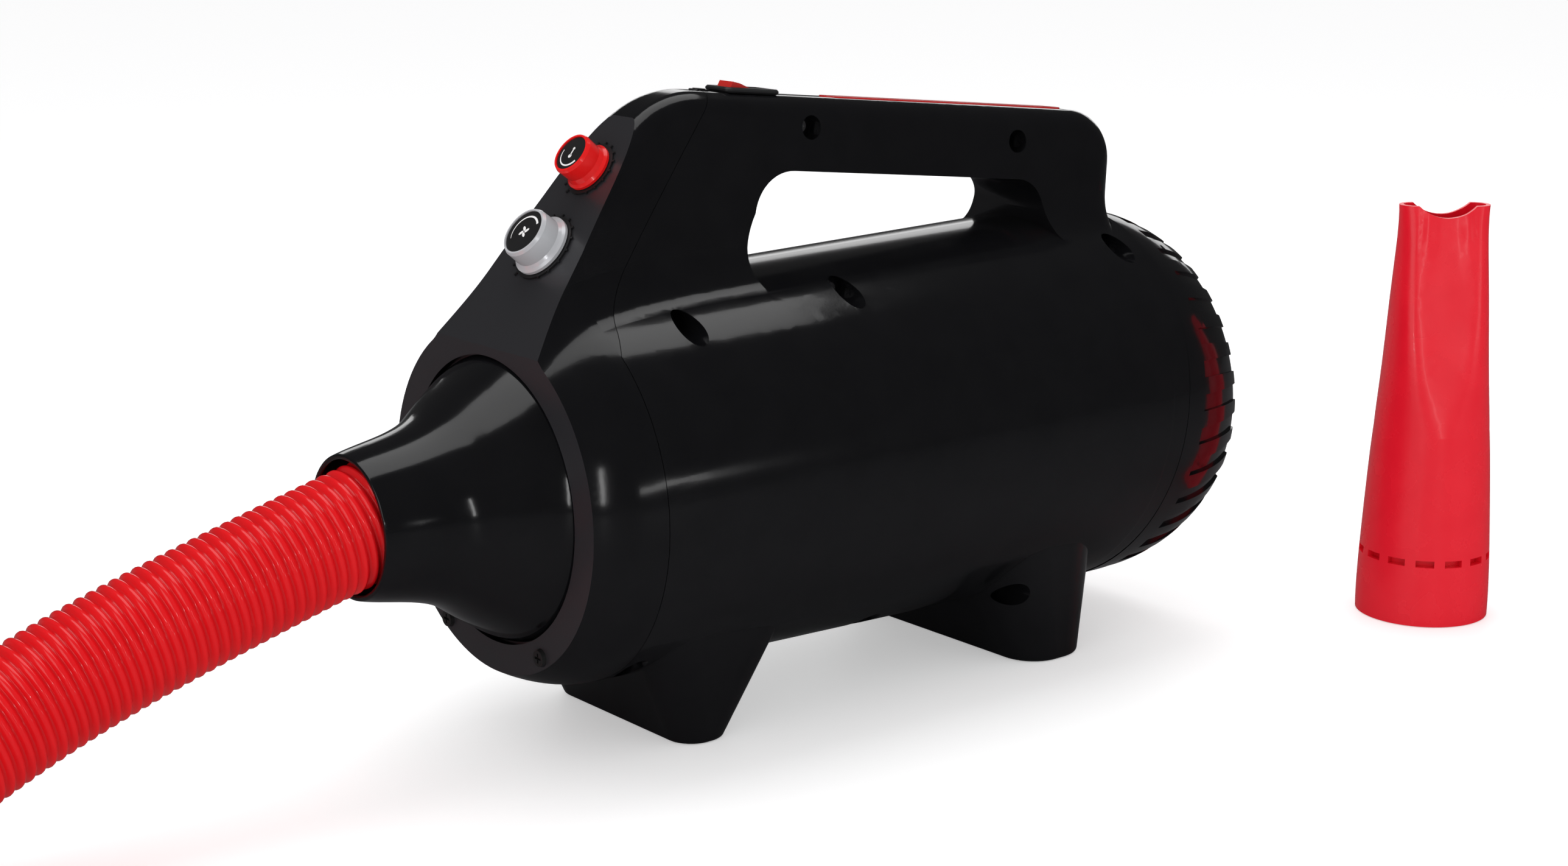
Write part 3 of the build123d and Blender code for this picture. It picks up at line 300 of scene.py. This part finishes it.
# ---------------------------------------------------------------- materials
def principled(name, colour, roughness, metallic=0.0, coat=0.0, bump=0.05):
    """A procedural material: uneven colour, uneven roughness and a fine bump."""
    material = bpy.data.materials.new(name)
    material.use_nodes = True
    tree = material.node_tree
    shader = tree.nodes["Principled BSDF"]
    shader.inputs["Metallic"].default_value = metallic
    shader.inputs["Coat Weight"].default_value = coat
    shader.inputs["Coat Roughness"].default_value = 0.04
    place = tree.nodes.new("ShaderNodeTexCoord")
    noise = tree.nodes.new("ShaderNodeTexNoise")
    noise.inputs["Scale"].default_value = NOISE_SCALE
    noise.inputs["Detail"].default_value = 6.0
    tree.links.new(place.outputs["Object"], noise.inputs["Vector"])
    mix = tree.nodes.new("ShaderNodeMix")
    mix.data_type = "RGBA"
    mix.inputs["A"].default_value = (*[c * (1 - COLOUR_SPREAD) for c in colour], 1)
    mix.inputs["B"].default_value = (*[min(1, c * (1 + COLOUR_SPREAD) + 0.002) for c in colour], 1)
    tree.links.new(noise.outputs["Fac"], mix.inputs["Factor"])
    tree.links.new(mix.outputs["Result"], shader.inputs["Base Color"])
    rough = tree.nodes.new("ShaderNodeMapRange")
    rough.inputs["To Min"].default_value = max(0.02, roughness * (1 - ROUGHNESS_SPREAD))
    rough.inputs["To Max"].default_value = roughness * (1 + ROUGHNESS_SPREAD)
    tree.links.new(noise.outputs["Fac"], rough.inputs["Value"])
    tree.links.new(rough.outputs["Result"], shader.inputs["Roughness"])
    grain = tree.nodes.new("ShaderNodeTexNoise")
    grain.inputs["Scale"].default_value = GRAIN_SCALE
    tree.links.new(place.outputs["Object"], grain.inputs["Vector"])
    bumper = tree.nodes.new("ShaderNodeBump")
    bumper.inputs["Strength"].default_value = bump
    bumper.inputs["Distance"].default_value = 0.0004
    tree.links.new(grain.outputs["Fac"], bumper.inputs["Height"])
    tree.links.new(bumper.outputs["Normal"], shader.inputs["Normal"])
    return material


def satin_and_painted_sheen_front(material, colour, roughness):
    """Give the upright front faces and the control panel a duller satin finish than the gloss sides,
    with a lighter colour there that is painted sheen.
    """
    tree = material.node_tree
    shader = tree.nodes["Principled BSDF"]
    shape = tree.nodes.new("ShaderNodeNewGeometry")
    facing = tree.nodes.new("ShaderNodeVectorMath")
    facing.operation = "DOT_PRODUCT"
    tree.links.new(shape.outputs["True Normal"], facing.inputs[0])
    facing.inputs[1].default_value = (-1, 0, 0)
    # the limits lie just past the panel's lean, so that what leans further stays glossy
    satin_and_sheen_mask = tree.nodes.new("ShaderNodeMapRange")
    satin_and_sheen_mask.inputs["From Min"].default_value = 0.74
    satin_and_sheen_mask.inputs["From Max"].default_value = 0.77
    tree.links.new(facing.outputs["Value"], satin_and_sheen_mask.inputs["Value"])
    # faces turned to the front get a lighter colour, which is painted sheen, and a higher roughness,
    # which is their real satin finish
    for socket, kind, value in (("Base Color", "RGBA", (*colour, 1)), ("Roughness", "FLOAT", roughness)):
        plain = shader.inputs[socket].links[0].from_socket
        mix = tree.nodes.new("ShaderNodeMix")
        mix.data_type = kind
        mix.inputs["B"].default_value = value
        tree.links.new(satin_and_sheen_mask.outputs["Result"], mix.inputs["Factor"])
        tree.links.new(plain, mix.inputs["A"])
        tree.links.new(mix.outputs["Result"], shader.inputs[socket])
    return material


MATERIALS = {
    "black_gloss": principled("black_gloss", (0.004, 0.004, 0.0048), 0.13, coat=0.25, bump=0.02),
    "black_satin": principled("black_satin", (0.014, 0.014, 0.015), 0.42, bump=0.08),
    "red_gloss": principled("red_gloss", (0.80, 0.008, 0.008), 0.2, coat=0.4, bump=0.02),
    "red_satin": principled("red_satin", (0.86, 0.008, 0.024), 0.27, coat=0.08, bump=0.02),
    "red_hose": principled("red_hose", (0.76, 0.006, 0.010), 0.17, coat=0.3, bump=0.02),
    "red_rocker": principled("red_rocker", (0.55, 0.02, 0.015), 0.18, coat=0.5, bump=0.01),
    "silver_plastic": principled("silver_plastic", (0.66, 0.67, 0.70), 0.24, metallic=0.3, bump=0.03),
    "black_inset": principled("black_inset", (0.010, 0.010, 0.011), 0.5, bump=0.05),
    "dark_rubber": principled("dark_rubber", (0.02, 0.02, 0.02), 0.7, bump=0.15),
    "steel": principled("steel", (0.55, 0.55, 0.56), 0.28, metallic=1.0),
    "black_screw": principled("black_screw", (0.03, 0.03, 0.03), 0.3, metallic=0.6),
    "steel_can": principled("steel_can", (0.5, 0.5, 0.51), 0.35, metallic=1.0),
    "copper_rotor": principled("copper_rotor", (0.6, 0.28, 0.14), 0.35, metallic=1.0),
    "impeller_alu": principled("impeller_alu", (0.7, 0.7, 0.72), 0.35, metallic=1.0),
    "mica": principled("mica", (0.6, 0.55, 0.42), 0.6),
    "nichrome": principled("nichrome", (0.4, 0.37, 0.34), 0.4, metallic=1.0),
    "board_green": principled("board_green", (0.03, 0.2, 0.07), 0.4),
    "white_print": principled("white_print", (0.85, 0.85, 0.85), 0.35),
    "foam": principled("foam", (0.02, 0.02, 0.02), 0.95, bump=0.6),
    # the cover: gloss black, with real satin roughness and a painted sheen (a lighter colour) on the
    # faces turned to the front
    "black_cover": satin_and_painted_sheen_front(
        principled("black_cover", (0.004, 0.004, 0.0048), 0.13, coat=0.1, bump=0.02),
        (0.022, 0.022, 0.025),
        0.34,
    ),
}


def smooth(obj):
    """Smooth shading with the sharp edges kept."""
    mesh = obj.data
    mesh.shade_smooth()
    for edge in mesh.edges:
        edge.use_edge_sharp = False
    mesh.set_sharp_from_angle(angle=SHARP_ANGLE)


def dress_nodes():
    """Give every CAD node its material, and smooth shading to all but the two that the hose replaces."""
    slots = {part["node"]: part["material_slot"] for part in frame["record"]["subparts"]}
    for name, obj in nodes.items():
        obj.data.materials.clear()
        obj.data.materials.append(MATERIALS["black_cover" if name == "front_cover" else slots[name]])
        if name not in ("hose_tube", "hose_coil"):
            smooth(obj)


# ---------------------------------------------------------------- small printed and fitted pieces
def panel_matrix(rise, lift):
    """Local X to the viewer's right, Y up the control panel and Z out of it, at a height above it."""
    matrix = Matrix((PANEL_RIGHT, PANEL_UP, PANEL_NORMAL)).transposed().to_4x4()
    matrix.translation = Vector((RING_X, 0, PANEL_FOOT_Z)) + PANEL_UP * rise + PANEL_NORMAL * lift
    return matrix


def grip_matrix(x, lift):
    """Local X back along the grip, Y to the far side and Z out of its top."""
    along = Vector((math.cos(GRIP_SLOPE), 0, math.sin(GRIP_SLOPE)))
    normal = Vector((-math.sin(GRIP_SLOPE), 0, math.cos(GRIP_SLOPE)))
    z = GRIP_FRONT[1] + (x - GRIP_FRONT[0]) * math.tan(GRIP_SLOPE)
    matrix = Matrix((along, Vector((0, 1, 0)), normal)).transposed().to_4x4()
    matrix.translation = Vector((x, 0, z)) + normal * lift
    return matrix


def prism(name, outlines, height, matrix, material, body):
    """Flat shapes with a small height, placed by a matrix: each outline is a list of corners."""
    verts, faces = [], []
    for outline in outlines:
        first, count = len(verts), len(outline)
        for level in (0.0, height):
            verts += [matrix @ Vector((x, y, level)) for x, y in outline]
        faces.append(tuple(first + i for i in reversed(range(count))))
        faces.append(tuple(first + count + i for i in range(count)))
        for i in range(count):
            j = (i + 1) % count
            faces.append((first + i, first + j, first + count + j, first + count + i))
    mesh = bpy.data.meshes.new(name)
    mesh.from_pydata(verts, [], faces)
    mesh.materials.append(material)
    piece = bpy.data.objects.new(name, mesh)
    bpy.context.scene.collection.objects.link(piece)
    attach(piece, body)


def arc_band(radius, start, end, wide, narrow, steps=40):
    """A curved band about the origin that tapers from one width to another; angles in degrees."""
    outer, inner = [], []
    for step in range(steps + 1):
        share = step / steps
        turn = math.radians(start + (end - start) * share)
        half = (wide + (narrow - wide) * share) / 2
        outer.append(((radius + half) * math.cos(turn), (radius + half) * math.sin(turn)))
        inner.append(((radius - half) * math.cos(turn), (radius - half) * math.sin(turn)))
    return outer + inner[::-1]


def circle(x, y, radius, steps=24):
    """A round outline."""
    turns = [2 * math.pi * step / steps for step in range(steps)]
    return [(x + radius * math.cos(t), y + radius * math.sin(t)) for t in turns]


def fan_blades(size, steps=16):
    """Four curved blades round a point."""
    blades = []
    for number in range(4):
        base = math.radians(90 * number + 30)
        blade = []
        for step in range(steps):
            turn = 2 * math.pi * step / steps
            along = size * (0.55 + 0.45 * math.cos(turn))
            across = size * 0.24 * math.sin(turn) + size * 0.12 * math.cos(turn)
            x = along * math.cos(base) - across * math.sin(base)
            y = along * math.sin(base) + across * math.cos(base)
            blade.append((x, y))
        blades.append(blade)
    return blades


def add_knob_marks():
    """The white symbols on the knobs: a fan for the speed and a thermometer for the heat."""
    white = MATERIALS["white_print"]
    speed = [arc_band(0.0076, start=40, end=215, wide=0.0011, narrow=0.0002)] + fan_blades(0.0030)
    speed_place = panel_matrix(SPEED_RISE, SPEED_TOP)
    prism("speed_marks", speed, MARK_HEIGHT, speed_place, white, "speed_control")
    arc = arc_band(0.0062, start=330, end=170, wide=0.0010, narrow=0.0003)
    stem = [(-0.00035, -0.0012), (0.00035, -0.0012), (0.00035, 0.0024), (-0.00035, 0.0024)]
    heat = [arc, stem, circle(0, 0.0024, 0.0007), circle(0, -0.0014, 0.0010)]
    heat_place = panel_matrix(HEAT_RISE, HEAT_TOP)
    prism("heat_marks", heat, MARK_HEIGHT, heat_place, white, "heat_control")


def tick(radius, number):
    """One bar of a dial, further out and longer for each step towards full."""
    turn = math.radians(-60 + 300 * number / (TICK_COUNT - 1))
    inner, outer = radius - 0.0004, radius + 0.0006 + 0.0001 * number
    across = (-math.sin(turn) * TICK_HALF_WIDTH, math.cos(turn) * TICK_HALF_WIDTH)
    near = (inner * math.cos(turn), inner * math.sin(turn))
    far = (outer * math.cos(turn), outer * math.sin(turn))
    return [
        (near[0] - across[0], near[1] - across[1]),
        (far[0] - across[0], far[1] - across[1]),
        (far[0] + across[0], far[1] + across[1]),
        (near[0] + across[0], near[1] + across[1]),
    ]


def add_dial_ticks():
    """Short raised bars round each knob."""
    inset = MATERIALS["black_inset"]
    for name, rise, radius in (("speed", SPEED_RISE, 0.0158), ("heat", HEAT_RISE, 0.0129)):
        bars = [tick(radius, number) for number in range(TICK_COUNT)]
        prism(f"{name}_ticks", bars, TICK_HEIGHT, panel_matrix(rise, 0.0), inset, "blower")


def add_rocker_mark():
    """The white line across the rocker's raised end."""
    low, high, half = -0.0048, -0.0039, 0.00488
    outline = [(low, -half), (high, -half), (high, half), (low, half)]
    matrix = grip_matrix(ROCKER_X, ROCKER_LIFT) @ Matrix.Rotation(ROCKER_TILT, 4, "Y")
    prism("rocker_line", [outline], LINE_HEIGHT, matrix, MATERIALS["white_print"], "rocker")


add_camera()
add_studio()
dress_nodes()
add_hose(MATERIALS["red_hose"])
add_knob_marks()
add_dial_ticks()
add_rocker_mark()
